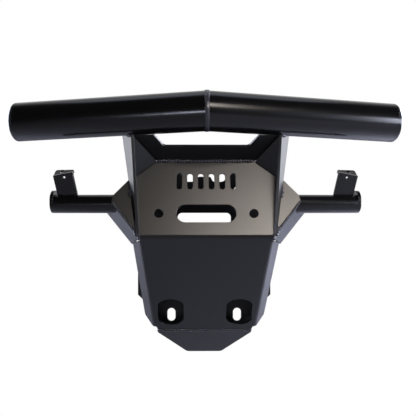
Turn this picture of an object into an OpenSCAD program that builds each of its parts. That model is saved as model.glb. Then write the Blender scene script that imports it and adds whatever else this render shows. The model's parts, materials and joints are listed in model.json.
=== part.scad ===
// Front winch bumper for an off-road vehicle: a folded nose sheet with a winch
// face and a skid, triangular uprights under a fat mitred tube, side stubs with
// light tabs, and a frame plate behind. Millimetres, +Z up, the front faces -Y.
// The origin lies midway between the two lower frame slots, on the rear face of
// the frame plate.

/* [Main tube] */
// Outer diameter of the main tube
tube_d = 63.5; // [50:0.5:76]
// Wall of the main tube
tube_wall = 3; // [2:0.5:5]
// Length of each half along its axis, cap included
tube_half_len = 323.5; // [260:0.5:400]
// Sweep of each half back from the middle, in degrees
tube_sweep = 15.5; // [8:0.5:20]
// Droop of each half towards its end, in degrees
tube_droop = 1.8; // [0:0.1:4]
// Distance of the tube's middle ahead of the ridge
tube_ahead = 26.7; // [15:0.1:35]
// Height of the tube's middle over the ridge
tube_up = 196.9; // [188:0.1:206]
// Thickness of the tube's end caps
tube_cap_t = 6; // [4:0.5:10]
// Width of the weld round the mitre
mitre_weld_w = 7; // [4:0.5:12]
// Height of the weld bead over the tube
mitre_weld_h = 1; // [0.6:0.1:3]

/* [Nose sheet] */
// Thickness of the nose sheet
sheet_t = 4; // [3:0.5:5]
// Outer radius of the ridge bend
ridge_r = 7; // [6:0.5:10]
// Width of the sheet at the ridge
nose_w = 212; // [204:1:230]
// Distance of the ridge ahead of the frame plate's rear face
nose_reach = 208; // [200:1:225]
// Height of the ridge over the lower frame slots
nose_h = 146.5; // [140:0.5:152]
// Length of the winch face along its slope
face_len = 130; // [126:1:134]
// Lean of the winch face back from upright, in degrees
face_lean = 19.2; // [15:0.1:22]
// Width of the slanted corners of the winch face
face_corner_w = 41.4; // [34:0.1:50]
// Overall width across the ears
ear_w = 304; // [290:1:320]
// Height of the ears' lower outer corner, along the face
ear_low = 60.5; // [55:0.5:66]
// Height of the ears' upper outer corner, along the face
ear_high = 70; // [67:0.5:76]
// Height along the face where the top edge crosses the uprights
ear_top = 98.5; // [92:0.5:104]
// Slope of the skid below level, in degrees
skid_angle = 45; // [42:0.5:48]
// Length of the skid along its slope
skid_len = 240.8; // [225:0.1:250]
// Width of the skid at its lower corners
skid_low_w = 178; // [172:1:186]
// Length of the cut at each lower corner, along the slope
skid_cut_len = 8.5; // [6:0.1:20]
// Width of the cut at each lower corner
skid_cut_w = 7; // [4:0.1:14]
// Angle of the side flanges from the skid, in degrees
flange_angle = 50; // [35:1:65]
// Width of the side flanges
flange_w = 23.5; // [18:0.5:28]
// Distance of the flanges below the ridge bend
flange_start = 10; // [9:0.5:16]
// Slant of the flanges' upper ends
flange_slant = 18; // [10:1:30]
// Taper of the flanges' lower ends
flange_taper = 15; // [8:1:30]
// Length of the relief slits in the flanges
relief_len = 6; // [3:0.5:9]
// Width of the relief slits in the flanges
relief_w = 2.5; // [1.5:0.5:4]
// Outer radius of the flange bends
flange_r = 9; // [6:0.5:12]

/* [Openings in the nose] */
// Length of the fairlead slot
fairlead_w = 96; // [80:1:110]
// Height of the fairlead slot
fairlead_h = 30; // [20:1:36]
// Height of the fairlead slot along the face
fairlead_at = 39.5; // [32:0.5:44]
// Distance between the fairlead bolt holes
fairlead_pitch = 152.4; // [140:0.1:165]
// Diameter of the fairlead bolt holes
fairlead_hole_d = 15; // [8:0.5:16]
// Number of upright slots above the fairlead
vent_count = 6; // [4:1:6]
// Distance from one upright slot to the next
vent_pitch = 17.4; // [15:0.1:18]
// Width of each upright slot
vent_w = 9; // [6:0.5:11]
// Height of each upright slot
vent_h = 28; // [20:1:32]
// Height of the upright slots along the face
vent_at = 94.5; // [88:0.5:98]
// Width of the access holes in the skid
access_w = 45; // [36:1:48]
// Length of the access holes along the slope
access_len = 71; // [60:1:76]
// End radius of the access holes
access_r = 25; // [24:0.5:30]
// Place of the access holes along the slope
access_at = 190.4; // [184:0.1:192]

/* [Upper plate] */
// Lean of the upper plate forward from upright, in degrees
upper_lean = 48.7; // [44:0.1:52]
// Width of the solid band above the face
upper_band = 33.3; // [24:0.1:38]
// Flare of the upper plate's sides, in degrees
upper_flare = 31.4; // [26:0.1:36]
// Width of the window at the band
window_w = 136.4; // [120:0.1:144]
// Flare of the window's sides, in degrees
window_flare = 31.8; // [24:0.1:38]
// Corner radius of the window
window_r = 8; // [3:0.5:12]

/* [Uprights and arms] */
// Thickness of the uprights
upright_t = 4.8; // [3:0.1:6]
// Flare of the uprights' front edges from the ridge up, in degrees
upright_flare = 3.4; // [2:0.1:5]
// Splay of the uprights going back, in degrees
upright_splay = 16.3; // [10:0.1:20]
// Height of the uprights' rear horns over the ridge
upright_h = 171; // [165:1:178]
// Height of the uprights' feet over the ridge
upright_foot = 3; // [2:0.5:8]
// Length of the arms' outer edges, back from the ears
arm_outer = 38.4; // [30:0.1:44]
// Length of the arms' lower edges, back from the ridge corners
arm_lower = 33.5; // [24:0.1:38]

/* [Stubs and tabs] */
// Outer diameter of the side stubs
stub_d = 30; // [26:0.5:32]
// Wall of the side stubs
stub_wall = 2.6; // [2:0.1:4]
// Sweep of the stubs going out, in degrees
stub_sweep = 13.5; // [8:0.5:18]
// Half width over the stubs' end plates
stub_end_x = 251; // [235:1:280]
// Length of the stubs behind the ears
stub_root = 18; // [12:0.5:22]
// Height of the stubs over the ridge
stub_up = 52.6; // [50:0.1:54]
// Distance of the stubs behind the ridge, at the ears' outer edge
stub_back = 33.7; // [33:0.1:37]
// Thickness of the stubs' end plates
stub_cap_t = 5; // [3:0.5:8]
// Rise of the end plates' upper round over the lower one
stub_cap_rise = 7; // [3:0.5:10]
// Width of the light tabs
tab_w = 34; // [28:1:40]
// Height of the light tabs from the stub to the bend
tab_h = 40; // [30:1:50]
// Thickness of the light tabs
tab_t = 4; // [3:0.5:5]
// Lean of the light tabs forward, in degrees
tab_lean = 20; // [10:1:26]
// Distance of the tabs' outer edge from the stubs' end plates
tab_inset = 6; // [2:0.5:20]
// Depth of the tabs' lip at its outer side
lip_depth = 15; // [13:0.5:20]
// Depth of the tabs' lip at its inner side
lip_short = 5; // [4:0.5:12]
// Lean of the lip back from upright, in degrees
lip_lean = 54; // [40:1:70]
// Drop of the bend from the tabs' inner side to the outer side
bend_drop = 6; // [0:0.5:9]
// Skew of the tabs outward, at the bend
tab_skew = 5; // [0:0.5:8]
// Diameter of the light hole in the lip
lip_hole_d = 8.5; // [5:0.5:9]
// Diameter of the small hole below the lip
tab_hole_d = 4.5; // [3:0.5:6]
// Distance of the small hole below the bend
tab_hole_drop = 9; // [8:0.5:12]

/* [Frame plate and tray] */
// Thickness of the frame plate
frame_t = 5; // [4:0.5:8]
// Distance between the two lower frame slots
frame_pitch = 118.6; // [110:0.1:124]
// Width of the lower frame slots
frame_slot_w = 14.5; // [10:0.5:16]
// Height of the lower frame slots
frame_slot_h = 23.3; // [18:0.1:28]
// Diameter of the upper frame bolt holes
frame_hole_d = 11; // [8:0.5:13]
// Height of the upper frame bolt holes
frame_hole_at = 225; // [190:1:250]
// Overall width of the frame plate
frame_w = 239.6; // [230:0.1:245]
// Height of the frame plate's shoulders
frame_h = 267; // [262:1:275]
// Width of the frame plate at its foot
frame_foot_w = 100; // [84:1:116]
// Width of the frame plate at its lower corners
frame_low_w = 176; // [160:1:184]
// Depth of the lower corners below the slots
frame_low_drop = 18; // [12:0.5:22]
// Bevel under the frame plate's wide part
frame_bevel = 11; // [6:0.5:16]
// Lower end of the frame plate's wide part
frame_wide_low = 36; // [30:0.5:42]
// Upper end of the frame plate's wide part
frame_wide_high = 74.6; // [64:0.1:84]
// Rise over which the plate narrows above its wide part
frame_step = 20.4; // [14:0.1:28]
// Corner radius of the frame plate
frame_r = 6; // [3:0.5:8]
// Width of the frame plate above its wide part
frame_top_w = 200; // [180:1:206]
// Width of the notch between the shoulders
frame_notch_w = 77; // [60:1:90]
// Height of the notch's floor
frame_notch_h = 240; // [234:1:246]
// Width of the hump in the notch
frame_hump_w = 32; // [20:1:44]
// Rise of the hump in the notch
frame_hump_rise = 9; // [4:1:12]
// Slant of the hump's sides
frame_hump_slant = 5; // [2:0.5:7]
// Width of the window behind the fairlead
frame_window_w = 96.2; // [80:0.1:110]
// Top of the window behind the fairlead
frame_window_top = 183.5; // [178:0.5:190]
// Height of the window behind the fairlead
frame_window_h = 33; // [22:1:35]
// Corner radius of the window behind the fairlead
frame_window_r = 8; // [4:0.5:11]
// Thickness of the winch tray
tray_t = 4; // [3:0.5:6]
// Width of the winch tray
tray_w = 196; // [186:1:204]
// Spacing of the winch bolts across the tray
winch_pitch_x = 168; // [120:0.1:176]
// Spacing of the winch bolts along the tray
winch_pitch_y = 76.2; // [60:0.1:90]
// Diameter of the winch bolt holes
winch_hole_d = 9; // [7:0.5:12]
// Distance of each side rib from the middle
rib_x = 84; // [83:0.5:88]
// Thickness of the side ribs
rib_t = 4; // [3:0.5:6]

/* [Toe plate] */
// Slope of the toe plate below level, in degrees
toe_angle = 38.3; // [30:0.1:42]
// Length of the toe plate along its slope
toe_len = 75.8; // [60:0.1:90]
// Width of the toe plate at the skid
toe_w = 176; // [160:0.5:178]
// Width of the toe plate at its tip
toe_tip_w = 62.4; // [50:0.1:90]
// Corner radius of the toe plate's tip
toe_r = 9; // [4:0.5:14]
// Corner radius of the toe plate at the seam
toe_seam_r = 5; // [3:0.5:8]

/* [Welds and clearance] */
// Gap between welded pieces
weld_gap = 0.3; // [0.2:0.1:0.6]
// Distance of the upper weld's ends from the face's corners
upper_weld_inset = 3; // [2.5:0.5:8]
// Leg of the fillet welds
weld_leg = 5; // [3:0.5:7]
// Start of the lower weld between upright and ear, along the face
ear_weld_low = 6; // [4:0.5:10]
// Length of the lower weld between upright and ear
ear_weld_low_len = 14; // [10:0.5:24]
// Start of the upper weld between upright and ear, along the face
ear_weld_high = 66; // [56:0.5:72]
// Length of the upper weld between upright and ear
ear_weld_high_len = 18; // [12:0.5:24]
// Distance of the toe bead's ends from the plate's corners
toe_weld_inset = 4; // [2:0.5:8]
// Half width of the bead over the toe seam
toe_weld_half = 4; // [3:0.5:6]
// Height of the bead over the toe seam
toe_weld_h = 1.8; // [1:0.1:3]

/* [Hidden] */
$fn = 96;

far = 600;
arc_steps = 8;
coat = [0.09, 0.09, 0.1];
coat_light = [0.16, 0.17, 0.19];
weld_grey = [0.22, 0.23, 0.25];

bend_turn = face_lean + skid_angle;
ridge_lead = ridge_r * tan(bend_turn / 2);
flange_lead = flange_r * tan(flange_angle / 2);
bend_overlap = 3;
fold_inset = flange_lead + bend_overlap / 2;
fold_step = 1;
seam_step = 1;
corner_r = 3;

// Place of the tabs' holes, as a share of the tabs' width from the inner side
hole_share = 0.6;

skid_corner = skid_len - skid_cut_len;
fold_tilt = atan((nose_w - skid_low_w) / 2 / skid_corner);
fold_len = skid_corner / cos(fold_tilt);
flange_top = ridge_lead + flange_start;
flange_low = fold_len - fold_step;

skid_dir = [0, cos(skid_angle), -sin(skid_angle)];
face_dir = [0, sin(face_lean), cos(face_lean)];
ridge_mid = [0, -nose_reach, nose_h];
ridge_corner = ridge_mid + [nose_w / 2, 0, 0];
seam_mid = ridge_mid + skid_dir * skid_len;

upright_back = [tan(upright_splay), 1, 0];
upright_normal = [1, -tan(upright_splay), -tan(upright_flare)];
upright_run = tan(upright_splay) * sin(face_lean) + tan(upright_flare) * cos(face_lean);

// How far the face of a fillet weld stands out, against a flat one
weld_crown = 1.1;
weld_round = 0.75;

// Where the face's slanted corners cross the uprights, and where they end
ear_top_x = nose_w / 2 + upright_run * ear_top + upright_t / 2;
face_top_w = 2 * (ear_top_x - face_corner_w);

// Directions of an arm's outer and lower edges
arm_outer_dir = [19.5, 32, -7.7];
arm_lower_dir = [11.5, 23.8, -11];

tube_apex = [0, -nose_reach - tube_ahead, nose_h + tube_up];
tube_shell_len = tube_half_len - tube_cap_t;

// The upper plate runs into the tube, which cuts it to length
upper_dir = [0, -sin(upper_lean), cos(upper_lean)];
upper_reach = (tube_apex - face_point(0, face_len)) * upper_dir - tube_d * 0.4;

stub_mid = [ear_w / 2, -nose_reach + stub_back, nose_h + stub_up];
stub_shell_len = (stub_end_x - ear_w / 2) / cos(stub_sweep) - stub_cap_t;
stub_root_len = stub_root / cos(stub_sweep);

tray_top = nose_h;
tray_low = tray_top - tray_t;
tray_front = -nose_reach + (tray_t + sheet_t / cos(skid_angle)) / tan(skid_angle) + weld_gap;
frame_front = -frame_t - weld_gap;

function unit(v) = v / norm(v);
function face_point(x, s) = ridge_mid + [x, 0, 0] + face_dir * s;

// Axes of a plane that holds x_dir and has the given normal
function axis_x(x_dir) = unit(x_dir);
function axis_z(x_dir, normal) = unit(normal - axis_x(x_dir) * (normal * axis_x(x_dir)));
function axis_y(x_dir, normal) = cross(axis_z(x_dir, normal), axis_x(x_dir));
function flat_point(p, o, x_dir, normal) =
    [(p - o) * axis_x(x_dir), (p - o) * axis_y(x_dir, normal)];

// Points of a closed outline whose corner i is rounded by radii[i]
function corner_arc(a, p, b, r) =
    let (
        u = unit(a - p),
        v = unit(b - p),
        half = acos(max(-1, min(1, u * v))) / 2,
        centre = p + unit(u + v) * r / sin(half),
        start = p + u * r / tan(half) - centre,
        end = p + v * r / tan(half) - centre,
        a0 = atan2(start.y, start.x),
        turn = (atan2(end.y, end.x) - a0 + 540) % 360 - 180
    )
    [for (i = [0 : arc_steps])
        centre + r * [cos(a0 + turn * i / arc_steps), sin(a0 + turn * i / arc_steps)]];
function rounded(pts, radii) =
    let (n = len(pts))
    [for (i = [0 : n - 1])
        each radii[i] > 0
            ? corner_arc(pts[(i + n - 1) % n], pts[i], pts[(i + 1) % n], radii[i])
            : [pts[i]]];
// The outline of a symmetric plate, from its right half given bottom to top
function both_sides(half) =
    concat(half, [for (i = [len(half) - 1 : -1 : 0]) [-half[i].x, half[i].y]]);
function both_radii(half) =
    concat(half, [for (i = [len(half) - 1 : -1 : 0]) half[i]]);

module place(o, x_dir, normal) {
    x = axis_x(x_dir);
    y = axis_y(x_dir, normal);
    z = axis_z(x_dir, normal);
    multmatrix([[x.x, y.x, z.x, o.x], [x.y, y.y, z.y, o.y], [x.z, y.z, z.z, o.z]])
        children();
}

module side(s) {
    if (s < 0) {
        mirror([1, 0, 0])
            children();
    } else {
        children();
    }
}

// The winch face: x across, y up its slope, z out to the front
module on_face() {
    translate(ridge_mid)
        rotate([90 - face_lean, 0, 0])
            children();
}

// The skid: x across, y down its slope, z in to the back
module on_skid() {
    translate(ridge_mid)
        rotate([-skid_angle, 0, 0])
            children();
}

// The upper plate: x across, y up its slope, z out to the front
module on_upper() {
    translate(ridge_mid + face_dir * face_len)
        rotate([90 + upper_lean, 0, 0])
            children();
}

// The toe plate: x across, y down its slope, z in to the back
module on_toe() {
    translate(seam_mid)
        rotate([-toe_angle, 0, 0])
            children();
}

// The right half of the main tube lies along z
module on_tube() {
    translate(tube_apex)
        rotate([0, 0, tube_sweep])
            rotate([0, 90 + tube_droop, 0])
                children();
}

// The right stub: x out along its axis, y back, z up
module on_stub() {
    translate(stub_mid)
        rotate([0, 0, stub_sweep])
            children();
}

module tube_space(gap) {
    on_tube()
        translate([0, 0, -tube_d])
            cylinder(h = tube_half_len + tube_d, d = tube_d + 2 * gap);
}

module stub_space(gap) {
    on_stub()
        translate([-stub_root_len - gap, 0, 0])
            rotate([0, 90, 0])
                cylinder(h = stub_shell_len + stub_root_len + gap, d = stub_d + 2 * gap);
}

// All that lies outside the right upright's inner face
module outside_upright(gap) {
    place(ridge_corner, upright_back, upright_normal)
        translate([-far, -far, -gap])
            cube([2 * far, 2 * far, far]);
}

module slot(length, width) {
    square([length - width, width], center = true);
    for (s = [-1, 1])
        translate([s * (length - width) / 2, 0])
            circle(d = width);
}

module main_tube_side(s) {
    color(coat)
        side(s)
            difference() {
                on_tube()
                    translate([0, 0, -tube_d])
                        cylinder(h = tube_shell_len + tube_d, d = tube_d);
                on_tube()
                    translate([0, 0, -2 * tube_d])
                        cylinder(h = tube_half_len + 4 * tube_d, d = tube_d - 2 * tube_wall);
                translate([weld_gap / 2 - far, -far, 0])
                    cube([far, 2 * far, far]);
            }
}

module main_tube_left() main_tube_side(-1);
module main_tube_right() main_tube_side(1);

// A closing disc with a dressed, rounded rim
module tube_cap_side(s) {
    rim = tube_cap_t * 0.6;
    color(coat)
        side(s)
            on_tube()
                translate([0, 0, tube_shell_len])
                    rotate_extrude()
                        polygon(concat(
                            [[0, 0], [tube_d / 2, 0]],
                            [for (i = [0 : arc_steps])
                                [tube_d / 2 - rim + rim * cos(90 * i / arc_steps),
                                 tube_cap_t - rim + rim * sin(90 * i / arc_steps)]],
                            [[0, tube_cap_t]]));
}

module tube_cap_left() tube_cap_side(-1);
module tube_cap_right() tube_cap_side(1);

// The bead round the mitre, which follows both halves
module tube_mitre_weld() {
    color(weld_grey)
        for (s = [-1, 1])
            side(s)
                intersection() {
                    difference() {
                        on_tube()
                            translate([0, 0, -tube_d])
                                cylinder(h = 2 * tube_d, d = tube_d + 2 * mitre_weld_h);
                        on_tube()
                            translate([0, 0, -2 * tube_d])
                                cylinder(h = 4 * tube_d, d = tube_d);
                    }
                    translate([0, -far, 0])
                        cube([mitre_weld_w / 2, 2 * far, far]);
                }
}

module face_outline() {
    half = [[nose_w / 2, ridge_lead], [ear_w / 2, ear_low],
        [ear_w / 2 - 2, ear_high], [ear_top_x, ear_top], [face_top_w / 2, face_len]];
    polygon(rounded(both_sides(half), both_radii([0, 4, 4, 0, 0])));
}

module face_sheet() {
    on_face()
        translate([0, 0, -sheet_t])
            linear_extrude(sheet_t)
                difference() {
                    face_outline();
                    translate([0, fairlead_at])
                        slot(fairlead_w, fairlead_h);
                    for (s = [-1, 1])
                        translate([s * fairlead_pitch / 2, fairlead_at])
                            circle(d = fairlead_hole_d);
                    for (i = [0 : vent_count - 1])
                        translate([(i - (vent_count - 1) / 2) * vent_pitch, vent_at])
                            rotate(90)
                                slot(vent_h, vent_w);
                }
}

module access_hole() {
    intersection() {
        square([access_w, access_len], center = true);
        union() {
            square([access_w, access_len - 2 * access_r + access_r * 0.6], center = true);
            for (s = [-1, 1])
                translate([0, s * (access_len / 2 - access_r)])
                    circle(r = access_r);
        }
    }
}

// A point of the skid beside its fold: out from the fold line, and down along it
function fold_point(out, along) =
    [nose_w / 2 + out * cos(fold_tilt) - along * sin(fold_tilt),
     out * sin(fold_tilt) + along * cos(fold_tilt)];

// A sheet's section through one bend: a flat lead-in, the bend, then a flat
function bend_section(lead_in, radius, turn, reach) =
    let (
        inner = radius - sheet_t,
        lead = radius * tan(turn / 2),
        centre = [-lead, radius],
        out = [cos(turn), sin(turn)],
        across = [-sin(turn), cos(turn)]
    )
    concat(
        [[-lead - lead_in, sheet_t], [-lead - lead_in, 0]],
        [for (i = [0 : arc_steps])
            centre + radius * [sin(turn * i / arc_steps), -cos(turn * i / arc_steps)]],
        [out * reach, out * reach + across * sheet_t],
        [for (i = [arc_steps : -1 : 0])
            centre + inner * [sin(turn * i / arc_steps), -cos(turn * i / arc_steps)]]);

module skid_sheet() {
    half = [[nose_w / 2, ridge_lead], [nose_w / 2, flange_top - 2 * fold_step],
        fold_point(-fold_inset, flange_top + fold_step),
        fold_point(-fold_inset, flange_low - fold_step),
        fold_point(-flange_lead, skid_corner + fold_step),
        [skid_low_w / 2 - skid_cut_w, skid_len]];
    on_skid()
        linear_extrude(sheet_t)
            difference() {
                polygon(both_sides(half));
                for (s = [-1, 1])
                    translate([s * frame_pitch / 2, access_at])
                        access_hole();
            }
}

// One side flange of the skid, folded back along the skid's side
module skid_flange() {
    long = flange_low - flange_top;
    edge = flange_w + fold_step;
    on_skid()
        translate([nose_w / 2, 0, 0])
            rotate([0, 0, fold_tilt])
                difference() {
                    translate([0, flange_low, 0])
                        rotate([90, 0, 0])
                            linear_extrude(long)
                                polygon(bend_section(bend_overlap, flange_r, flange_angle,
                                    flange_w));
                    rotate([0, -flange_angle, 0])
                        translate([0, 0, -sheet_t])
                            linear_extrude(3 * sheet_t) {
                                polygon([[flange_lead, flange_top - fold_step],
                                    [edge, flange_top - fold_step],
                                    [edge, flange_top + flange_slant]]);
                                polygon([[flange_lead, flange_low + fold_step],
                                    [edge, flange_low + fold_step],
                                    [edge, flange_low - flange_taper]]);
                                translate([flange_w - relief_len,
                                    flange_low - flange_taper - relief_w])
                                    square([relief_len + fold_step, relief_w]);
                            }
                }
}

// The ridge bend, turned from the face down to the skid
module ridge_bend() {
    on_face()
        translate([-nose_w / 2, 0, 0])
            rotate([90, 0, 90])
                rotate(180)
                    linear_extrude(nose_w)
                        polygon(bend_section(bend_overlap, ridge_r, bend_turn,
                            ridge_lead + bend_overlap));
}

module nose_sheet() {
    color(coat_light)
        union() {
            face_sheet();
            ridge_bend();
            skid_sheet();
            skid_flange();
            mirror([1, 0, 0])
                skid_flange();
        }
}

module upper_plate() {
    half = [[face_top_w / 2 - seam_step, weld_gap],
        [face_top_w / 2 - seam_step + upper_reach * tan(upper_flare), upper_reach]];
    window = both_sides([[window_w / 2, upper_band],
        [window_w / 2 + tan(window_flare) * upper_reach, upper_band + upper_reach]]);
    color(coat)
        difference() {
            on_upper()
                translate([0, 0, -sheet_t])
                    linear_extrude(sheet_t)
                        difference() {
                            polygon(both_sides(half));
                            polygon(rounded(window, both_radii([window_r, 0])));
                        }
            for (s = [-1, 1])
                side(s) {
                    tube_space(weld_gap);
                    outside_upright(weld_gap);
                }
        }
}

// The triangle that closes the corner between face, upper plate and upright
module corner_gusset_side(s) {
    p_low = face_point(face_top_w / 2, face_len);
    p_out = face_point(ear_top_x, ear_top);
    p_top = p_low + upper_dir * upper_reach + [upper_reach * tan(upper_flare), 0, 0];
    normal = cross(p_top - p_low, p_out - p_low);
    tri = [for (p = [p_low, p_out, p_top]) flat_point(p, p_low, p_out - p_low, -normal)];
    color(coat)
        side(s)
            difference() {
                place(p_low, p_out - p_low, -normal)
                    linear_extrude(sheet_t)
                        polygon(tri);
                tube_space(weld_gap);
                outside_upright(weld_gap);
                on_face()
                    translate([0, 0, -sheet_t - weld_gap])
                        linear_extrude(sheet_t + 2 * weld_gap)
                            face_outline();
                on_upper()
                    translate([-far, -far, -sheet_t - weld_gap])
                        cube([far + face_top_w / 2, 2 * far, sheet_t + 2 * weld_gap]);
            }
}

module corner_gusset_left() corner_gusset_side(-1);
module corner_gusset_right() corner_gusset_side(1);

// A long triangle that stands on the face and carries the tube
module upright_side(s) {
    color(coat_light)
        side(s)
            difference() {
                place(ridge_corner, upright_back, upright_normal)
                    linear_extrude(upright_t)
                        polygon([[0, upright_foot], [0, upright_h], [upright_h, upright_h]]);
                tube_space(weld_gap);
                on_face()
                    translate([-far, -far, -far])
                        cube([2 * far, 2 * far, far + weld_gap]);
            }
}

module upright_left() upright_side(-1);
module upright_right() upright_side(1);

// The side wall that runs back from an ear's lower edge
module arm_side(s) {
    ear = face_point(ear_w / 2, ear_low);
    edge = ear - ridge_corner;
    normal = cross(edge, arm_lower_dir);
    outline = [for (p = [ridge_corner, ear, ear + unit(arm_outer_dir) * arm_outer,
        ridge_corner + unit(arm_lower_dir) * arm_lower])
        flat_point(p, ridge_corner, edge, normal)];
    color(coat_light)
        side(s)
            difference() {
                place(ridge_corner, edge, normal)
                    linear_extrude(sheet_t)
                        polygon(rounded(outline, [0, 0, corner_r, corner_r]));
                on_face()
                    translate([-far, -far, -sheet_t - weld_gap])
                        cube([2 * far, 2 * far, far]);
                on_skid()
                    translate([-nose_w / 2 - weld_gap, -far, -far])
                        cube([nose_w + 2 * weld_gap, 2 * far, far + ridge_r]);
                stub_space(weld_gap);
            }
}

module arm_left() arm_side(-1);
module arm_right() arm_side(1);

module stub_side(s) {
    color(coat)
        side(s)
            difference() {
                stub_space(0);
                on_stub()
                    translate([stub_wall - stub_root_len, 0, 0])
                        rotate([0, 90, 0])
                            cylinder(h = far, d = stub_d - 2 * stub_wall);
                on_face()
                    translate([0, 0, -sheet_t - weld_gap])
                        linear_extrude(far)
                            face_outline();
            }
}

module stub_left() stub_side(-1);
module stub_right() stub_side(1);

module stub_cap_side(s) {
    color(coat)
        side(s)
            on_stub()
                translate([stub_shell_len, 0, 0])
                    rotate([90, 0, 90])
                        linear_extrude(stub_cap_t) {
                            circle(d = stub_d);
                            translate([-stub_d / 2, 0])
                                square([stub_d, stub_cap_rise]);
                            translate([0, stub_cap_rise])
                                circle(d = stub_d);
                        }
}

module stub_cap_left() stub_cap_side(-1);
module stub_cap_right() stub_cap_side(1);

// A light tab: a leaning plate with a wedge-shaped lip bent back
module light_tab_side(s) {
    out = stub_shell_len - tab_inset;
    root = stub_d / 2;
    bend_len = norm([tab_w, bend_drop]);
    lip = [[0, 0], [bend_len, 0], [bend_len, lip_depth + tab_t], [0, lip_short + tab_t]];
    color(coat_light)
        side(s)
            on_stub()
                difference() {
                    translate([out - tab_w, 0, root])
                        rotate([tab_lean, 0, 0]) {
                            rotate([90, 0, 0])
                                linear_extrude(tab_t)
                                    difference() {
                                        polygon([[0, -root], [tab_w, -root],
                                            [tab_w + tab_skew, tab_h - bend_drop],
                                            [tab_skew, tab_h]]);
                                        translate([tab_w * hole_share, tab_h - tab_hole_drop])
                                            circle(d = tab_hole_d);
                                    }
                            translate([tab_skew, 0, tab_h])
                                rotate([0, atan(bend_drop / tab_w), 0])
                                    rotate([90 - tab_lean - lip_lean, 0, 0])
                                        translate([0, -tab_t, -tab_t])
                                            linear_extrude(tab_t)
                                                difference() {
                                                    polygon(rounded(lip,
                                                        [0, 0, corner_r, corner_r / 2]));
                                                    translate([bend_len * hole_share,
                                                        tab_t + lip_depth / 2 - fold_step])
                                                        circle(d = lip_hole_d);
                                                }
                        }
                    translate([-far / 2, 0, 0])
                        rotate([0, 90, 0])
                            cylinder(h = far, d = stub_d + 2 * weld_gap);
                }
}

module light_tab_left() light_tab_side(-1);
module light_tab_right() light_tab_side(1);

module frame_plate() {
    toe_z = seam_mid.z - (frame_front - seam_mid.y) * tan(toe_angle)
        + sheet_t / cos(toe_angle) + weld_gap;
    half = [[frame_foot_w / 2, toe_z], [frame_low_w / 2, -frame_low_drop],
        [frame_w / 2 - frame_bevel, frame_wide_low - frame_bevel], [frame_w / 2, frame_wide_low],
        [frame_w / 2, frame_wide_high], [frame_top_w / 2, frame_wide_high + frame_step],
        [frame_top_w / 2, frame_h], [frame_notch_w / 2, frame_h],
        [frame_notch_w / 2, frame_notch_h], [frame_hump_w / 2, frame_notch_h],
        [frame_hump_w / 2 - frame_hump_slant, frame_notch_h + frame_hump_rise]];
    radii = frame_r * [0.7, 1.3, 0, 0, 1, 1, 2, 1, 1.3, 0.7, 0.5];
    window_low = frame_window_top - frame_window_h;
    color(coat)
        rotate([90, 0, 0])
            linear_extrude(frame_t)
                difference() {
                    polygon(rounded(both_sides(half), both_radii(radii)));
                    for (s = [-1, 1]) {
                        translate([s * frame_pitch / 2, 0])
                            rotate(90)
                                slot(frame_slot_h, frame_slot_w);
                        translate([s * frame_pitch / 2, frame_hole_at])
                            circle(d = frame_hole_d);
                    }
                    polygon(rounded(both_sides([[frame_window_w / 2, window_low],
                        [frame_window_w / 2, frame_window_top]]),
                        both_radii([frame_window_r, frame_window_r])));
                }
}

module winch_tray() {
    middle = (tray_front + frame_front) / 2;
    color(coat)
        translate([0, 0, tray_low])
            linear_extrude(tray_t)
                difference() {
                    translate([-tray_w / 2, tray_front])
                        square([tray_w, frame_front - tray_front]);
                    for (sx = [-1, 1], sy = [-1, 1])
                        translate([sx * winch_pitch_x / 2, middle + sy * winch_pitch_y / 2])
                            circle(d = winch_hole_d);
                }
}

// A triangular rib under the tray, on the skid's inner face
module side_rib(s) {
    gap = sheet_t / cos(skid_angle) + weld_gap * 2;
    top = tray_low - weld_gap;
    function skid_y(z) = -nose_reach + (nose_h - z) / tan(skid_angle) + gap;
    color(coat)
        side(s)
            translate([rib_x, 0, 0])
                rotate([90, 0, 90])
                    linear_extrude(rib_t)
                        polygon([[skid_y(top), top], [skid_y(0), 0], [frame_front, 0],
                            [frame_front, top]]);
}

module side_rib_left() side_rib(-1);
module side_rib_right() side_rib(1);

module toe_plate() {
    start = sheet_t * tan((skid_angle - toe_angle)) + weld_gap;
    half = [[toe_w / 2, start], [toe_tip_w / 2, toe_len]];
    color(coat_light)
        on_toe()
            linear_extrude(sheet_t)
                polygon(rounded(both_sides(half), both_radii([toe_seam_r, toe_r])));
}

// The fillet in the valley between the winch face and the upper plate
module upper_weld() {
    a = [-weld_leg, 0];
    turn = face_lean + upper_lean;
    b = (weld_leg - weld_gap) * [cos(turn), sin(turn)];
    crown = (a + b) / 2 * weld_crown;
    color(weld_grey)
        on_face()
            translate([upper_weld_inset - face_top_w / 2, face_len, weld_gap])
                rotate([90, 0, 90])
                    linear_extrude(face_top_w - 2 * upper_weld_inset)
                        polygon([[0, 0], b, crown, a]);
}

// The crowned bead over the seam between skid and toe plate
module toe_weld() {
    fall = skid_angle - toe_angle;
    a = [-toe_weld_half, 0];
    b = toe_weld_half * [cos(fall), sin(fall)];
    color(weld_grey)
        on_skid()
            translate([toe_weld_inset - toe_w / 2, skid_len, -weld_gap])
                rotate([90, 0, 90])
                    linear_extrude(toe_w - 2 * toe_weld_inset)
                        polygon([a, [a.x / 2, -toe_weld_h * weld_round], [0, -toe_weld_h],
                            b / 2 - [0, toe_weld_h * weld_round], b, [0, 0]]);
}

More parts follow.
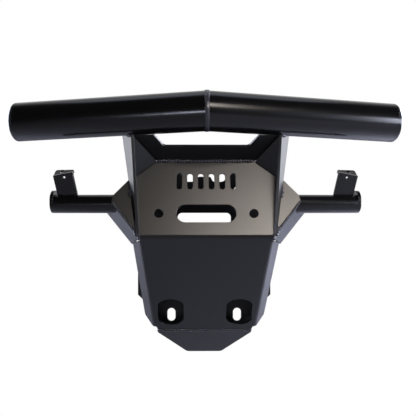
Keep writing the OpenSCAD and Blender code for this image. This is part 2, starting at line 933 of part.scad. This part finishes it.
// Stitches between an upright and the ear, outside the upright
module ear_welds_side(s) {
    normal = upright_normal;
    line = [tan(upright_flare) + tan(upright_splay) * tan(face_lean), tan(face_lean), 1];
    start = ridge_corner + axis_z(upright_back, normal) * (upright_t + weld_gap);
    color(weld_grey)
        side(s)
            intersection() {
                on_face()
                    translate([0, 0, weld_gap])
                        linear_extrude(far)
                            for (run = [[ear_weld_low, ear_weld_low_len],
                                [ear_weld_high, ear_weld_high_len]])
                                translate([0, run[0]])
                                    square([far, run[1]]);
                place(start, line, normal)
                    rotate([0, 90, 0])
                        cylinder(h = far, r = weld_leg);
                place(start, upright_back, normal)
                    translate([-far, -far, 0])
                        cube([2 * far, 2 * far, far]);
            }
}

module ear_welds_left() ear_welds_side(-1);
module ear_welds_right() ear_welds_side(1);

main_tube_left();
main_tube_right();
tube_cap_left();
tube_cap_right();
tube_mitre_weld();
nose_sheet();
upper_plate();
corner_gusset_left();
corner_gusset_right();
upright_left();
upright_right();
arm_left();
arm_right();
stub_left();
stub_right();
stub_cap_left();
stub_cap_right();
light_tab_left();
light_tab_right();
frame_plate();
winch_tray();
side_rib_left();
side_rib_right();
toe_plate();
upper_weld();
toe_weld();
ear_welds_left();
ear_welds_right();
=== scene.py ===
import json
import math
import random

import bmesh
import bpy
from mathutils import Matrix, Vector


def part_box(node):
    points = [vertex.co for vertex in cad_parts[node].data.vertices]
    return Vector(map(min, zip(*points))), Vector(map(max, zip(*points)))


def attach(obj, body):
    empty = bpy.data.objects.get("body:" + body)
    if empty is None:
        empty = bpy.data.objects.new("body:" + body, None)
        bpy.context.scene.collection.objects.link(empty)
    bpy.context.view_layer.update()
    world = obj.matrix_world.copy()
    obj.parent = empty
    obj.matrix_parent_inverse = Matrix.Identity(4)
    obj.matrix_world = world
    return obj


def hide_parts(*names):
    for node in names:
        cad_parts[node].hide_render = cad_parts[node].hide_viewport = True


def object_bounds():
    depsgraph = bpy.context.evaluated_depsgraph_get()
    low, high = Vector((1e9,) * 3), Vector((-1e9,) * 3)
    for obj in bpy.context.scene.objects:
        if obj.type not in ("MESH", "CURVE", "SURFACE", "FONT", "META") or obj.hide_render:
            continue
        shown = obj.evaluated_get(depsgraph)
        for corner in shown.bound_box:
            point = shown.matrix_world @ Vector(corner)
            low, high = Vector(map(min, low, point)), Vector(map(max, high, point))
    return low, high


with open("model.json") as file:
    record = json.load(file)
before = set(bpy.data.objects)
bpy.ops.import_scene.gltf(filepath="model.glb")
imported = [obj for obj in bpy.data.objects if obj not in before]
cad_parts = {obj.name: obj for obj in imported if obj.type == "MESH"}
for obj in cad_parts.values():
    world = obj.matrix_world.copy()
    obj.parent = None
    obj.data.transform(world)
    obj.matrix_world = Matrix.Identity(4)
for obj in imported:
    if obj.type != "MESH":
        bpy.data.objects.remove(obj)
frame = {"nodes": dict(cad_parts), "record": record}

cadLow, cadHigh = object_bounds()
nodes = frame["nodes"]
mm = 0.001
print("frame loaded:", len(nodes), "nodes")


# Colours are sRGB hex, turned to linear here
def linear(hexColour):
    channels = [int(hexColour[i:i + 2], 16) / 255 for i in (1, 3, 5)]
    return [c / 12.92 if c <= 0.04045 else ((c + 0.055) / 1.055) ** 2.4 for c in channels] + [1.0]


# One node with its settings and links. Sockets that share a name, as on a Mix node, go by number
def addNode(tree, kind, settings=None, links=None, props=None):
    node = tree.nodes.new(kind)
    for name, value in (props or {}).items():
        setattr(node, name, value)
    for name, value in (settings or {}).items():
        node.inputs[name].default_value = value
    for name, socket in (links or {}).items():
        tree.links.new(socket, node.inputs[name])
    return node


# Polyester powder coat over steel: sprayed and baked, so it is a smooth satin skin with a
# faint orange peel, and it pools a little at corners, which rounds every edge. The welds carry the
# same black coat, but their colour is painted lighter than the plates' as a painted highlight for the
# glints on their ripples, so that these show at this size
powderCoat = {
    "plateColour": "#0a0a0b",
    "tubeColour": "#070708",
    # Lighter black on the welds: a painted highlight that stands in for glints on their ripples
    "weldColourPaintedGlint": "#2a2a30",
    "peelSize": 1.6 * mm,
    "peelDepth": 0.02 * mm,
    "peelStrength": 0.35,
    "peelDetail": 2.0,
    "edgeRadius": 0.9 * mm,
    "edgeSamples": 6,
    # Faint patches of tint and gloss, 18 to the metre
    "patchSize": 1000 / 18 * mm,
    "patchDetail": 3.0,
    "patchTint": 0.08,
    "patchRoughness": 0.03,
    "ior": 1.5,
    "plateRoughness": 0.3,
    "tubeRoughness": 0.2,
    "weldRoughness": 0.16,
}


def satinCoat(name, colour, roughness):
    material = bpy.data.materials.new(name)
    material.use_nodes = True
    tree = material.node_tree
    shader = tree.nodes["Principled BSDF"]
    shader.inputs["IOR"].default_value = powderCoat["ior"]
    place = addNode(tree, "ShaderNodeTexCoord").outputs["Object"]
    edge = addNode(tree, "ShaderNodeBevel", {"Radius": powderCoat["edgeRadius"]},
                   props={"samples": powderCoat["edgeSamples"]})
    peel = addNode(tree, "ShaderNodeTexNoise",
                   {"Scale": 1 / powderCoat["peelSize"], "Detail": powderCoat["peelDetail"]},
                   {"Vector": place})
    bump = addNode(tree, "ShaderNodeBump",
                   {"Strength": powderCoat["peelStrength"], "Distance": powderCoat["peelDepth"]},
                   {"Height": peel.outputs["Fac"], "Normal": edge.outputs["Normal"]})
    patch = addNode(tree, "ShaderNodeTexNoise",
                    {"Scale": 1 / powderCoat["patchSize"], "Detail": powderCoat["patchDetail"]},
                    {"Vector": place})
    spread = addNode(tree, "ShaderNodeMapRange",
                     {"To Min": roughness - powderCoat["patchRoughness"],
                      "To Max": roughness + powderCoat["patchRoughness"]},
                     {"Value": patch.outputs["Fac"]})
    tint = addNode(tree, "ShaderNodeMix", {}, {0: patch.outputs["Fac"]}, {"data_type": "RGBA"})
    for socket, change in ((6, -powderCoat["patchTint"]), (7, powderCoat["patchTint"])):
        tint.inputs[socket].default_value = [c * (1 + change) for c in linear(colour)[:3]] + [1]
    tree.links.new(tint.outputs[2], shader.inputs["Base Color"])
    tree.links.new(spread.outputs["Result"], shader.inputs["Roughness"])
    tree.links.new(bump.outputs["Normal"], shader.inputs["Normal"])
    return material


plateCoat = satinCoat("satinPowderCoatPlate", powderCoat["plateColour"], powderCoat["plateRoughness"])
tubeCoat = satinCoat("satinPowderCoatTube", powderCoat["tubeColour"], powderCoat["tubeRoughness"])
# The weld coat's lighter colour is a painted highlight, not a colour of its own
weldCoatPaintedGlint = satinCoat("powderCoatOverWeldPaintedGlint", powderCoat["weldColourPaintedGlint"], powderCoat["weldRoughness"])

materialOf = {"plate_coat": plateCoat, "tube_coat": tubeCoat, "weld_coat": weldCoatPaintedGlint}
slotOf = {part["node"]: part["material_slot"] for part in frame["record"]["subparts"]}
for nodeName, node in nodes.items():
    node.data.materials.clear()
    node.data.materials.append(materialOf[slotOf[nodeName]])
print("materials assigned")


# Sizes of the plates that the welds follow. The ridge is the bend between winch face and skid
plates = {
    "ridgeHeight": 146.5 * mm,
    "faceLean": 19.2,
    "faceLength": 130 * mm,
    "noseWidth": 212 * mm,
    "skidAngle": 45.0,
    "skidLength": 240.8 * mm,
    "toeAngle": 38.3,
    "upperLean": 48.7,
    "upperFlare": 31.4,
    "faceTopHalf": 82 * mm,
    "gussetFoot": (123.4 * mm, 98.5 * mm),
    "earLow": (152 * mm, 60.5 * mm),
    "uprightSplay": 16.3,
    "uprightFlare": 3.4,
    "uprightWall": 5.1 * mm,
    "tubeRadius": 31.75 * mm,
    "tubeApex": (0, -234.7 * mm, 343.4 * mm),
    "tubeSweep": 15.5,
    "tubeDroop": 1.8,
}


def slope(lengthwise, upwards, angle):
    turn = math.radians(angle)
    return Vector((0, lengthwise * math.sin(turn), upwards * math.cos(turn)))


ridge = Vector((0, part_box("nose_sheet")[0].y, plates["ridgeHeight"]))
faceUp = slope(1, 1, plates["faceLean"])
faceOut = slope(-1, 1, 90 - plates["faceLean"])
upperUp = slope(-1, 1, plates["upperLean"])
skidDown = slope(1, -1, 90 - plates["skidAngle"])
toeDown = slope(1, -1, 90 - plates["toeAngle"])
splay = math.tan(math.radians(plates["uprightSplay"]))
flare = math.tan(math.radians(plates["uprightFlare"]))


def facePoint(across, along):
    return ridge + Vector((across, 0, 0)) + faceUp * along


# The outer side of an upright, at a given depth and height
def uprightSide(side, y, z):
    out = plates["noseWidth"] / 2 + splay * (y - ridge.y) + flare * (z - ridge.z)
    return Vector((side * (out + plates["uprightWall"]), y, z))


# A hand-run weld: ripples that overlap like scales, none quite like the next
weldBead = {
    "sides": 10,
    "ripple": 4.1 * mm,
    "stepsPerRipple": 5,
    "rippleDepth": 0.38,
    "lag": 0.9 * mm,
    "roundEnd": 3 * mm,
    "endSize": 0.3,
    "mergeGap": 0.01 * mm,
    "seed": 11,
}
chance = random.Random(weldBead["seed"])


# The point, direction and outward direction at a distance along a line of (point, outward) pairs
def alongLine(line, distance):
    for (start, startUp), (end, endUp) in zip(line, line[1:]):
        span = (end - start).length
        if distance <= span or end is line[-1][0]:
            share = min(distance / span, 1)
            return start.lerp(end, share), (end - start).normalized(), startUp.lerp(endUp, share)
        distance -= span


def lineLength(line):
    return sum((end[0] - start[0]).length for start, end in zip(line, line[1:]))


def ringPlace(line, distance, width, rise, size):
    middle, ahead, outward = alongLine(line, distance)
    across = ahead.cross(outward).normalized()
    up = across.cross(ahead).normalized()
    columns = across * width / 2 * size, up * rise * size - ahead * weldBead["lag"] * size, ahead
    place = Matrix.Identity(4)
    for index, column in enumerate((*columns, middle)):
        place.col[index][:3] = column
    return place


# One bead is a small ring pushed along the seam, wider at the head of each ripple
def addBead(shape, line, width, rise, wobble, closed=False):
    length = lineLength(line)
    ripples = max(2, round(length / weldBead["ripple"]))
    steps = ripples * weldBead["stepsPerRipple"]
    sizes = [1 + chance.uniform(-wobble, wobble) for _ in range(ripples)]
    before = None
    for step in range(steps + 1):
        ripple, phase = divmod(step, weldBead["stepsPerRipple"])
        head = phase / weldBead["stepsPerRipple"]
        size = sizes[ripple % ripples] * (1 - weldBead["rippleDepth"] * (1 - head) ** 2 * (step > 0))
        distance = length * step / steps
        if not closed:
            nearEnd = min(distance, length - distance) / weldBead["roundEnd"]
            size *= max(weldBead["endSize"], min(1, nearEnd) ** 0.5)
        if closed and step in (0, steps):
            size, distance = sizes[0], 0
        place = ringPlace(line, distance, width, rise, size)
        if before is None:
            ring = bmesh.ops.create_circle(shape, cap_ends=False, segments=weldBead["sides"],
                                           radius=1, matrix=place)["verts"]
            edges = list({edge for vert in ring for edge in vert.link_edges})
            if not closed:
                bmesh.ops.contextual_create(shape, geom=edges)
        else:
            grown = bmesh.ops.extrude_edge_only(shape, edges=edges)["geom"]
            ring = [item for item in grown if isinstance(item, bmesh.types.BMVert)]
            edges = [item for item in grown if isinstance(item, bmesh.types.BMEdge)]
            bmesh.ops.transform(shape, matrix=place @ before.inverted(), verts=ring)
        before = place
    if not closed:
        bmesh.ops.contextual_create(shape, geom=edges)


def finishWeld(name, shape, replaced):
    bmesh.ops.remove_doubles(shape, verts=shape.verts, dist=weldBead["mergeGap"])
    bmesh.ops.recalc_face_normals(shape, faces=shape.faces)
    for face in shape.faces:
        face.smooth = len(face.verts) == 4
    mesh = bpy.data.meshes.new(name)
    shape.to_mesh(mesh)
    shape.free()
    piece = bpy.data.objects.new(name, mesh)
    bpy.context.scene.collection.objects.link(piece)
    mesh.materials.append(weldCoatPaintedGlint)
    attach(piece, "root")
    for node in replaced:
        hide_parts(node)


def straight(start, end, outward):
    return [(start, outward), (end, outward)]


# The ring where the two halves of the tube are mitred
mitreWeld = {"width": 8.4 * mm, "rise": 0.95 * mm, "points": 48, "wobble": 0.04}


def makeMitreWeld():
    turn, drop = math.radians(plates["tubeSweep"]), math.radians(plates["tubeDroop"])
    axis = Vector((math.cos(drop) * math.cos(turn), math.cos(drop) * math.sin(turn), -math.sin(drop)))
    line = []
    for step in range(mitreWeld["points"] + 1):
        angle = 2 * math.pi * step / mitreWeld["points"]
        out = Vector((0, math.cos(angle), math.sin(angle)))
        reach = plates["tubeRadius"] / math.sqrt(1 - out.dot(axis) ** 2)
        line.append((Vector(plates["tubeApex"]) + out * reach, out))
    shape = bmesh.new()
    addBead(shape, line, mitreWeld["width"], mitreWeld["rise"], mitreWeld["wobble"], closed=True)
    finishWeld("mitreWeldBead", shape, ["tube_mitre_weld"])


makeMitreWeld()

# The fillet between winch face and upper plate, laid in two uneven runs
upperWeld = {
    "inset": 3 * mm,
    "seat": 1.4 * mm,
    # width, rise, wobble
    "runs": [(7.8 * mm, 2.6 * mm, 0.25), (5.4 * mm, 3.6 * mm, 0.4)],
}


def makeUpperWeld():
    half = plates["faceTopHalf"] - upperWeld["inset"]
    outward = (upperUp - faceUp).normalized()
    seat = outward * upperWeld["seat"]
    shape = bmesh.new()
    for width, rise, wobble in upperWeld["runs"]:
        ends = [facePoint(side * half, plates["faceLength"]) + seat for side in (-1, 1)]
        addBead(shape, straight(*ends, outward), width, rise, wobble)
    finishWeld("upperWeldBead", shape, ["upper_weld"])


makeUpperWeld()

# The even row of ripples between skid and toe plate
toeWeld = {"half": 84 * mm, "width": 7.6 * mm, "rise": 3.4 * mm, "wobble": 0.1}


def makeToeWeld():
    seam = ridge + skidDown * plates["skidLength"]
    outward = Vector((0, skidDown.z + toeDown.z, -skidDown.y - toeDown.y)).normalized()
    ends = [seam + Vector((side * toeWeld["half"], 0, 0)) for side in (-1, 1)]
    shape = bmesh.new()
    addBead(shape, straight(*ends, outward), toeWeld["width"], toeWeld["rise"], toeWeld["wobble"])
    finishWeld("toeWeldBead", shape, ["toe_weld"])


makeToeWeld()

# Short stitches that hold the uprights: to the ears, and to the tube above them
uprightWelds = {
    "runs": [(1 * mm, 19 * mm), (66 * mm, 85 * mm)],
    "width": 7.4 * mm,
    "rise": 3.7 * mm,
    "wobble": 0.3,
    "tubeFrom": -12,
    "tubeTo": 62,
    "points": 8,
}


def makeUprightWelds(side, name):
    shape = bmesh.new()
    outward = (faceOut + Vector((side, -splay, -flare)).normalized()).normalized()
    for low, high in uprightWelds["runs"]:
        ends = [facePoint(0, along) for along in (low, high)]
        ends = [uprightSide(side, end.y, end.z) for end in ends]
        addBead(shape, straight(*ends, outward), uprightWelds["width"], uprightWelds["rise"],
                uprightWelds["wobble"])
    line = []
    for step in range(uprightWelds["points"] + 1):
        share = step / uprightWelds["points"]
        angle = math.radians(uprightWelds["tubeFrom"] * (1 - share) + uprightWelds["tubeTo"] * share)
        out = Vector((0, math.sin(angle), -math.cos(angle)))
        point = Vector(plates["tubeApex"]) + out * plates["tubeRadius"]
        reach = abs(uprightSide(side, point.y, point.z).x)
        point.y += reach * math.tan(math.radians(plates["tubeSweep"]))
        point.z -= reach * math.tan(math.radians(plates["tubeDroop"]))
        line.append((uprightSide(side, point.y, point.z), (out + Vector((side, 0, 0))).normalized()))
    addBead(shape, line, uprightWelds["width"], uprightWelds["rise"], uprightWelds["wobble"])
    finishWeld(name, shape, ["ear_welds_right" if side > 0 else "ear_welds_left"])


makeUprightWelds(-1, "uprightWeldsLeft")
makeUprightWelds(1, "uprightWeldsRight")

# Thin beads along the ears: to the arms below, to the gussets above, and a ground smooth seam
# between gusset and upper plate. Two lumps lie at the corner of the ridge
earBeads = {
    "armWidth": 5.4 * mm,
    "armRise": 2.7 * mm,
    "gussetWidth": 4 * mm,
    "gussetRise": 1.6 * mm,
    "seamWidth": 4 * mm,
    "seamRise": 1.2 * mm,
    "seamLength": 56 * mm,
    "cornerWidth": 8 * mm,
    "cornerRise": 3 * mm,
    "cornerLength": 7 * mm,
    "wobble": 0.2,
    "smooth": 0.02,
}


def makeEarBeads(side, name):
    shape = bmesh.new()
    corner = facePoint(side * plates["noseWidth"] / 2, 0)
    ear = facePoint(side * plates["earLow"][0], plates["earLow"][1])
    ahead = (ear - corner).normalized()
    lowOut = Vector((side * ahead.z, 0, -side * ahead.x)).normalized()
    addBead(shape, straight(corner, ear, (faceOut + lowOut).normalized()), earBeads["armWidth"],
            earBeads["armRise"], earBeads["wobble"])
    lump = ahead * earBeads["cornerLength"]
    down = skidDown * earBeads["cornerLength"] + Vector((side * earBeads["cornerRise"], 0, 0))
    for end in (lump, down):
        addBead(shape, straight(corner, corner + end, (faceOut + lowOut).normalized()),
                earBeads["cornerWidth"], earBeads["cornerRise"], earBeads["wobble"])
    foot = facePoint(side * plates["gussetFoot"][0], plates["gussetFoot"][1])
    top = facePoint(side * plates["faceTopHalf"], plates["faceLength"])
    addBead(shape, straight(top, foot, faceOut), earBeads["gussetWidth"], earBeads["gussetRise"],
            earBeads["wobble"])
    spread = math.tan(math.radians(plates["upperFlare"]))
    seam = (upperUp + Vector((side * spread, 0, 0))) * earBeads["seamLength"]
    upperOut = Vector((0, -upperUp.z, upperUp.y))
    addBead(shape, straight(top, top + seam, (upperOut + Vector((-side, 0, 0))).normalized()),
            earBeads["seamWidth"], earBeads["seamRise"], earBeads["smooth"])
    finishWeld(name, shape, [])


makeEarBeads(-1, "earBeadsLeft")
makeEarBeads(1, "earBeadsRight")
print("weld beads made")


# The camera stands level with the winch slot, a little to the left
photo = {
    "pixels": 416,
    "scale": 1.585 * mm,
    "distance": 1426 * mm,
    "azimuth": 1.25,
    "centreX": 206.5,
    "eyeHeight": 192.4 * mm,
    "sensor": 36.0,
}


def makeCamera():
    turn = math.radians(photo["azimuth"])
    forward = Vector((math.sin(turn), math.cos(turn), 0))
    right = Vector((math.cos(turn), -math.sin(turn), 0))
    target = Vector((0, ridge.y, photo["eyeHeight"]))
    offset = (photo["pixels"] / 2 - photo["centreX"]) * photo["scale"]
    camera = bpy.data.cameras.new("photoCamera")
    camera.sensor_width = photo["sensor"]
    halfView = photo["pixels"] / 2 * photo["scale"]
    camera.lens = photo["sensor"] / 2 / (halfView / photo["distance"])
    body = bpy.data.objects.new("photoCamera", camera)
    bpy.context.scene.collection.objects.link(body)
    body.location = target - forward * photo["distance"] + right * offset
    body.rotation_mode = "QUATERNION"
    body.rotation_quaternion = forward.to_track_quat("-Z", "Y")
    bpy.context.scene.camera = body


makeCamera()
print("camera placed")


# Soft boxes round the object. Azimuth runs from the front towards the object's right
studio = {
    "aim": (0, -0.16, 0.2),
    "frontGlow": 0.02,
    "backGlow": 1.0,
    # Share of a direction that points straight back, where the glow starts and where it is full
    "glowFrom": 0.2,
    "glowTo": 0.9,
    "diffuseGlow": 0.12,
    "floorDrop": 0.06,
    "floorHalf": 6,
    "floorColour": "#6e6e72",
    "floorRoughness": 0.9,
    # name: azimuth, elevation, distance, width, height, power, colour
    "boxes": {
        "faceBox": (18, 31, 1.7, 0.8, 0.45, 20, "#fff4ea"),
        "rightBox": (60, 8, 1.7, 0.45, 0.6, 26, "#e6ebff"),
        "leftLine": (-27, -4, 1.7, 0.3, 0.12, 2.5, "#e6ebff"),
        "topBox": (180, 76, 1.7, 1.6, 0.6, 3, "#e6ebff"),
        "leftBackBox": (-118, 14, 1.7, 0.8, 1.0, 38, "#e6ebff"),
        "rightBackBox": (118, 14, 1.7, 0.8, 1.0, 64, "#e6ebff"),
    },
    # Lamps that hang low over the floor beside the object. name: x, y, width, power, colour
    "poolHeight": 0.3,
    "pools": {
        "leftPool": (-0.78, 0.1, 0.35, 13, "#e6ebff"),
        "rightPool": (0.62, 0.12, 0.35, 17, "#e6ebff"),
    },
}


def makeLamp(name, width, height, power, colour):
    light = bpy.data.lights.new(name, "AREA")
    light.shape = "RECTANGLE"
    light.size, light.size_y = width, height
    light.energy = power
    light.color = linear(colour)[:3]
    lamp = bpy.data.objects.new(name, light)
    bpy.context.scene.collection.objects.link(lamp)
    return lamp


def makeBox(name, azimuth, elevation, distance, width, height, power, colour):
    lamp = makeLamp(name, width, height, power, colour)
    turn, lift = math.radians(azimuth), math.radians(elevation)
    away = Vector((math.sin(turn) * math.cos(lift), -math.cos(turn) * math.cos(lift), math.sin(lift)))
    lamp.location = Vector(studio["aim"]) + away * distance
    lamp.rotation_mode = "QUATERNION"
    lamp.rotation_quaternion = (-away).to_track_quat("-Z", "Y")


for boxName, settings in studio["boxes"].items():
    makeBox(boxName, *settings)
for poolName, (x, y, width, power, colour) in studio["pools"].items():
    pool = makeLamp(poolName, width, width, power, colour)
    pool.location = (x, y, cadLow.z - studio["floorDrop"] + studio["poolHeight"])


# White all round for the camera. In reflections the white lies behind the object and the
# front of the room is dark, as in a studio with a white backdrop
def makeWorld():
    world = bpy.data.worlds.new("paleStudio")
    bpy.context.scene.world = world
    world.use_nodes = True
    tree = world.node_tree
    shader = tree.nodes["Background"]
    shader.inputs["Color"].default_value = (1, 1, 1, 1)
    path = addNode(tree, "ShaderNodeLightPath")
    direction = addNode(tree, "ShaderNodeTexCoord").outputs["Generated"]
    depth = addNode(tree, "ShaderNodeSeparateXYZ", {}, {"Vector": direction}).outputs["Y"]
    room = addNode(tree, "ShaderNodeMapRange",
                   {"From Min": studio["glowFrom"], "From Max": studio["glowTo"],
                    "To Min": studio["frontGlow"], "To Max": studio["backGlow"]},
                   {"Value": depth}, {"interpolation_type": "SMOOTHSTEP"})
    lit = addNode(tree, "ShaderNodeMix", {}, {0: path.outputs["Is Diffuse Ray"], 2: room.outputs["Result"]})
    lit.inputs[3].default_value = studio["diffuseGlow"]
    seen = addNode(tree, "ShaderNodeMath", {}, {0: path.outputs["Is Camera Ray"],
                                               1: path.outputs["Is Transmission Ray"]},
                   {"operation": "MAXIMUM"})
    strength = addNode(tree, "ShaderNodeMix", {}, {0: seen.outputs[0], 2: lit.outputs[0]})
    strength.inputs[3].default_value = 1.0
    tree.links.new(strength.outputs[0], shader.inputs["Strength"])


makeWorld()


# Paper under the object. It shows plain white to the camera, with no shadow in view, and
# mid grey to light and reflections
def makeFloor():
    mesh = bpy.data.meshes.new("paleFloor")
    shape = bmesh.new()
    bmesh.ops.create_grid(shape, x_segments=1, y_segments=1, size=studio["floorHalf"])
    bmesh.ops.translate(shape, verts=shape.verts, vec=(0, 0, cadLow.z - studio["floorDrop"]))
    shape.to_mesh(mesh)
    shape.free()
    floor = bpy.data.objects.new("paleFloor", mesh)
    bpy.context.scene.collection.objects.link(floor)
    material = bpy.data.materials.new("greyPaperSweep")
    material.use_nodes = True
    tree = material.node_tree
    shader = tree.nodes["Principled BSDF"]
    shader.inputs["Base Color"].default_value = linear(studio["floorColour"])
    shader.inputs["Roughness"].default_value = studio["floorRoughness"]
    glow = addNode(tree, "ShaderNodeEmission", {"Color": (1, 1, 1, 1), "Strength": 1.0})
    path = addNode(tree, "ShaderNodeLightPath")
    blend = addNode(tree, "ShaderNodeMixShader", {}, {0: path.outputs["Is Camera Ray"],
                                                     1: shader.outputs[0], 2: glow.outputs[0]})
    tree.links.new(blend.outputs[0], tree.nodes["Material Output"].inputs["Surface"])
    mesh.materials.append(material)


makeFloor()
print("studio built")

bpy.context.scene.view_settings.view_transform = "Standard"

print("scene ready")
